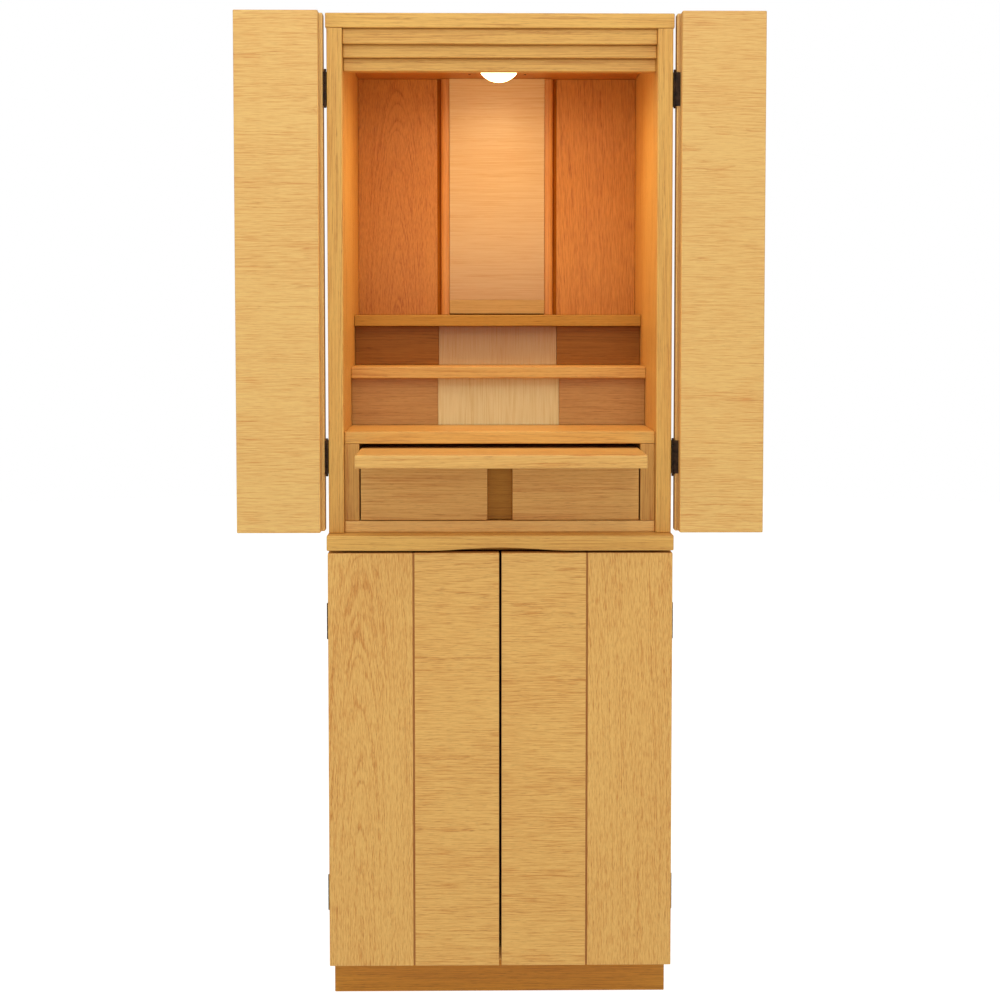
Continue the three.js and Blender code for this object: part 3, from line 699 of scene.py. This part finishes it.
# Folding doors: the grain runs across the leaves. The outer leaf keeps clear of the cabinet's
# side, and has a lipping on the edge by the hinges.
clear = 1.4 * mm
lipping_start, lipping_end = 1.4 * mm, 6.0 * mm
lipping_short = 1.5 * mm
lipping_proud, lipping_thick = 0.06 * mm, 0.6 * mm
# Painted shade: inner leaves darker towards their top, and the lipping darker where the inner leaf shades
# it, most on the right
for label, side, cut, upper_shade, lipping_shade in (
    ("left", -1, -0.21, 0.04, 0.05),
    ("right", 1, -0.16, 0.09, 0.3),
):
    board("inner_leaf_" + label, leaf_oak, X, Z, 1.4 * mm,
          side=cut, depth=0.05, tilt=0.03 * side, tone=(0.0, upper_shade))
    node = "outer_leaf_" + label
    low, high = box_of(node)
    if side > 0:
        low[X] += clear
    else:
        high[X] -= clear
    leaf = rounded_block(low, high, 1.6 * mm, Z)
    piece(dashed(node), [wood(leaf, X, Z, side=0.3, depth=0.06, tilt=0.02)], leaf_oak, node)
    near = low[X] if side > 0 else high[X]
    start, end = sorted((near + side * lipping_start, near + side * lipping_end))
    lipping_low = (start, low[Y] - lipping_proud, low[Z] + lipping_short)
    lipping_high = (end, low[Y] + lipping_thick, high[Z] - lipping_short)
    lipping = plate(lipping_low, lipping_high, 0.05 * mm)
    piece("leaf-lipping-" + label, [wood(lipping, Z, X, tone=lipping_shade)], leaf_oak,
          body=body_of[node], slot=slot_of[node])

# Lower doors: the outer half's grain is upright, the inner half's lies across, and a dark strip
# lies deep in the groove between them; its tone is painted shade
half = 1.2 * mm
sunk = 2.5 * mm
inside = 0.1 * mm
for label, side, outer_side, inner_side in (("left", -1, 0.014, -0.23), ("right", 1, 0.09, -0.2)):
    node = "lower_door_" + label
    low, high = box_of(node)
    middle = (low[X] + high[X]) / 2
    left = rounded_block(low, (middle - half, high[Y], high[Z]), 0.9 * mm, Z)
    right = rounded_block((middle + half, low[Y], low[Z]), high, 0.9 * mm, Z)
    outer, inner = (left, right) if side < 0 else (right, left)
    strip_low = (middle - half - inside, low[Y] + sunk, low[Z] + inside)
    strip_high = (middle + half + inside, high[Y] - inside, high[Z] - inside)
    strip = rounded_block(strip_low, strip_high, 0.3 * mm, Z)
    shells = [
        wood(outer, Z, X, side=outer_side, depth=0.034, tilt=0.075),
        wood(inner, X, Z, side=inner_side, depth=0.05, tilt=0.03 * side),
        wood(strip, Z, X, tone=0.6),
    ]
    piece(dashed(node), shells, door_oak, node)


# Hinges
def screw_head(centre, along, outward, radius=2.0 * mm, rise=0.3 * mm):
    """A low domed head: radius * cos t out from the axis, rise * sin t above the plate.

    The angle t goes from 0 at its edge to a right angle at its top.
    """
    root = 0.2 * mm  # it starts this deep in the plate
    t = np.linspace(0, math.pi / 2, 5)
    profile = np.stack([radius * np.cos(t), centre[along] + outward * rise * np.sin(t)], -1)
    profile = np.concatenate([[[radius, centre[along] - outward * root]], profile])
    return turned(profile, centre, along, 16)


def barrel(x, y, radius, bottom, top):
    """A knuckle: a tube's outside about the upright through x and y, with eased ends."""
    ease = 0.2 * radius
    profile = [(radius - ease, bottom), (radius, bottom + ease), (radius, top - ease), (radius - ease, top)]
    return turned(profile, (x, y, 0), Z, 20)


def knuckles(owners, x, y, radius, edges, play):
    """The barrels of a hinge between the given edges, owned in turn by its two halves."""
    halves = {owner: [] for owner in owners}
    for k in range(len(edges) - 1):
        shell = barrel(x, y, radius, edges[k] + play, edges[k + 1] - play)
        halves[owners[k % 2]].append(shell)
    return halves


raised = 0.12 * mm  # a hinge's plate stands this much out of the door
plate_thick = 0.9 * mm
screw_shares = (0.2, 0.5, 0.8)  # of a hinge's height
outer_screw, middle_screw = 9.5 * mm, 7 * mm  # behind the axis, on the body's plate
plate_wide, screw_row = 16.7 * mm, 10 * mm  # in from the axis, on the door's plate


def body_hinge(kind, label, number):
    """Both halves of a hinge: a plate on the body's side, one on the door, and five barrels."""
    side = -1 if label == "left" else 1
    tail = "%s_%s_%d" % (kind, label, number)
    body_node, door_node = "hinge_body_" + tail, "hinge_door_" + tail
    body_low, body_high = box_of(body_node)
    door_low, door_high = box_of(door_node)
    bottom, top = min(body_low[Z], door_low[Z]), max(body_high[Z], door_high[Z])
    radius = 1.5 * mm
    axis_x, axis_y = side * 225.7 * mm, body_low[Y] + radius
    edges = np.linspace(bottom, top, 6)
    halves = knuckles((body_node, door_node), axis_x, axis_y, radius, edges, 0.12 * mm)
    short = 3 * mm
    bottom_end, top_end = bottom + short, top - short
    wall = side * 224.3 * mm  # just off the cabinet's side, where the body's plate lies
    outside = wall + side * 1.0 * mm
    near, far = sorted((wall, outside))
    halves[body_node].append(plate((near, axis_y, bottom_end), (far, body_high[Y], top_end)))
    for share in screw_shares:
        z = bottom + share * (top - bottom)
        y = axis_y + (middle_screw if share == 0.5 else outer_screw)
        halves[body_node].append(screw_head((outside, y, z), X, side))
    # The door's plate points away from the cabinet on a leaf, and inwards on a lower door
    if kind == "upper":
        leaf_face = box_of("outer_leaf_" + label)[0][Y]
        let_in = 1.2 * mm if side < 0 else 0.0  # the left leaf's plates lie under its veneer
        front, back = leaf_face - raised + let_in, leaf_face + plate_thick + let_in
        facing, inward = -1, side
    else:
        door_face = box_of("lower_door_" + label)[1][Y]
        front, back = door_face - plate_thick, door_face + raised
        facing, inward = 1, -side
    near, far = sorted((axis_x, axis_x + inward * plate_wide))
    centre_x = axis_x + inward * screw_row
    halves[door_node].append(plate((near, front, bottom_end), (far, back, top_end)))
    face_y = front if facing < 0 else back
    for share in screw_shares:
        z = bottom + share * (top - bottom)
        halves[door_node].append(screw_head((centre_x, face_y, z), Y, facing, rise=0.25 * mm))
    for node in (body_node, door_node):
        piece(dashed(node), halves[node], bronze, node)


def fold_hinge(label, pitch=15 * mm):
    """The long hinge in the fold: barrels of one pitch each, and a plate on each of the leaves."""
    side = -1 if label == "left" else 1
    outer_node, inner_node = "fold_hinge_outer_" + label, "fold_hinge_inner_" + label
    outer_low, outer_high = box_of(outer_node)
    inner_low, inner_high = box_of(inner_node)
    bottom, top = min(outer_low[Z], inner_low[Z]), max(outer_high[Z], inner_high[Z])
    outer_face = box_of("outer_leaf_" + label)[0][Y]
    inner_face = box_of("inner_leaf_" + label)[1][Y]
    axis_x, axis_y = side * 341.8 * mm, (outer_face + inner_face) / 2
    edges = np.linspace(bottom, top, int(round((top - bottom) / pitch)) + 1)
    halves = knuckles((outer_node, inner_node), axis_x, axis_y, 1.0 * mm, edges, 0.1 * mm)
    proud = 0.1 * mm
    first, last = 0.3 * mm, 12.4 * mm  # a plate's edges, in from the axis
    outer_y, inner_y = outer_face - proud, inner_face + proud
    near, far = sorted((axis_x - side * first, axis_x - side * last))
    halves[outer_node].append(plate((near, outer_y, bottom), (far, outer_face + plate_thick, top)))
    halves[inner_node].append(plate((near, inner_face - plate_thick, bottom), (far, inner_y, top)))
    screw_x = axis_x - side * 7.5 * mm
    screw_end, screws = 12 * mm, 9
    for z in np.linspace(bottom + screw_end, top - screw_end, screws):
        halves[outer_node].append(screw_head((screw_x, outer_y, z), Y, -1, 1.8 * mm, 0.2 * mm))
        halves[inner_node].append(screw_head((screw_x, inner_y, z), Y, 1, 1.8 * mm, 0.2 * mm))
    for node in (outer_node, inner_node):
        piece(dashed(node), halves[node], bronze, node)


for label in ("left", "right"):
    fold_hinge(label)
    for number in (1, 2):
        body_hinge("upper", label, number)
        body_hinge("lower", label, number)

# Lamp: a rim against the ceiling, and a dome, whose profile is a quarter of an ellipse: it lies
# shade_radius * cos t from the axis and depth * sin t under the rim, t up to a right angle
low, high = box_of("lamp_dome")
centre = (low + high) / 2
ceiling = high[Z]
dome_radius = (high[X] - low[X]) / 2
edge, inner_edge = 0.6 * mm, 0.5 * mm
lip = 3 * mm
rim_bottom = ceiling - 3.5 * mm
rim_profile = [
    (dome_radius - edge, ceiling),
    (dome_radius, ceiling - edge),
    (dome_radius, rim_bottom + inner_edge),
    (dome_radius - inner_edge, rim_bottom),
    (dome_radius - lip, rim_bottom),
]
piece("lamp-rim", [turned(rim_profile, centre, Z, 48)], rim_plastic, body="carcass", slot="lamp_shade")
quarter_share = 0.995  # of a right angle, where the dome's last ring closes it
into_rim = 0.4 * mm
t = np.linspace(0, math.pi / 2 * quarter_share, 16)
shade_radius = dome_radius - edge
dome_profile = np.stack([shade_radius * np.cos(t), rim_bottom - (rim_bottom - low[Z]) * np.sin(t)], -1)
dome_profile = np.concatenate([[[shade_radius, rim_bottom + into_rim]], dome_profile])
piece("lamp-dome", [turned(dome_profile, centre, Z, 48)], shade, "lamp_dome")

# Two screws in the ceiling, behind the lamp
ceiling_face = box_of("ceiling_board")[0][Z]
screw_x, screw_y = 40 * mm, 160 * mm
screws = [screw_head((x, screw_y, ceiling_face), Z, -1, rise=0.7 * mm) for x in (-screw_x, screw_x)]
piece("ceiling-screws", screws, bronze, body="carcass", slot="bronze_hinge")


# Stage and light
def area_light(name, place, target, size, power):
    """A white softbox at a place, turned to face the target; size is its width and height.

    With away = place - target, it tilts by atan2(level part of away, its height), and turns
    about the upright by atan2(x, -y) of away.
    """
    data = bpy.data.lights.new(name, "AREA")
    data.shape = "RECTANGLE"
    data.size, data.size_y = size
    data.energy = power
    light = bpy.data.objects.new(name, data)
    scene.collection.objects.link(light)
    light.location = place
    away = np.array(place, float) - np.array(target, float)
    tilt = math.atan2(math.hypot(away[0], away[1]), away[2])
    light.rotation_euler = (tilt, 0.0, math.atan2(away[0], -away[1]))


area_light("softbox_above", (0.0, -1.3, 2.9), (0, 0, 0.9), (1.6, 0.9), 13.0)
area_light("softbox_front", (0.0, -2.3, 2.5), (0, 0, 0.9), (1.6, 0.8), 16.0)
area_light("softbox_level", (0.0, -3.4, 1.35), (0, 0, 0.9), (1.6, 1.2), 11.0)
area_light("softbox_left", (-2.6, -1.6, 1.6), (0, 0, 0.8), (1.6, 2.2), 17.0)
area_light("softbox_right", (2.6, -1.6, 1.6), (0, 0, 0.8), (1.6, 2.2), 14.0)

# The lamp's own light comes from a disk just under its shade
lamp_data = bpy.data.lights.new("lamp", "AREA")
lamp_data.shape = "DISK"
lamp_data.size = 50 * mm
lamp_data.energy = 0.64
lamp_data.color = (1.0, 0.72, 0.40)
lamp_light = bpy.data.objects.new("lamp", lamp_data)
scene.collection.objects.link(lamp_light)
lamp_light.location = (centre[X], centre[Y], low[Z] - 0.6 * mm)
lamp_light.visible_camera = False

# The floor is a disk of white paper. To the camera it glows like the white room behind it.
floor_radius = 7
corners = 96
floor_mesh = bpy.data.meshes.new("floor")
angle = np.linspace(0, 2 * math.pi, corners, endpoint=False)
rim_points = np.stack([floor_radius * np.cos(angle), floor_radius * np.sin(angle), np.zeros(corners)], -1)
floor_mesh.from_pydata(rim_points.tolist(), [], [list(range(corners))])
white = (1.0, 1.0, 1.0, 1.0)
floor_material, tree = new_material("floor_white_paper")
place = add(tree, "TexCoord").outputs["Object"]
cloud = add(tree, "TexNoise", Vector=place, Scale=3.0, Detail=2.0).outputs["Fac"]
paper = add(tree, "ValToRGB", stops=[(0.0, "#aaaaaa"), (1.0, "#b2b2b2")], Fac=cloud).outputs[0]
seen = add(tree, "LightPath").outputs["Is Camera Ray"]
glow = add(tree, "MapRange", Value=seen, To_Min=0.42, To_Max=0.95).outputs[0]
shader = add(tree, "BsdfPrincipled", Base_Color=paper, Roughness=0.9, Specular_IOR_Level=0.2,
             Emission_Color=white, Emission_Strength=glow)
add(tree, "OutputMaterial", Surface=shader.outputs[0])
floor_mesh.materials.append(floor_material)
floor_object = bpy.data.objects.new("floor", floor_mesh)
scene.collection.objects.link(floor_object)

world = bpy.data.worlds.new("studio")
world.use_nodes = True
tree = world.node_tree
tree.nodes.clear()
seen = add(tree, "LightPath").outputs["Is Camera Ray"]
strength = add(tree, "MapRange", Value=seen, To_Min=0.29, To_Max=1.0).outputs[0]
background = add(tree, "Background", Color=white, Strength=strength)
add(tree, "OutputWorld", Surface=background.outputs[0])
scene.world = world
scene.view_settings.view_transform = "Standard"
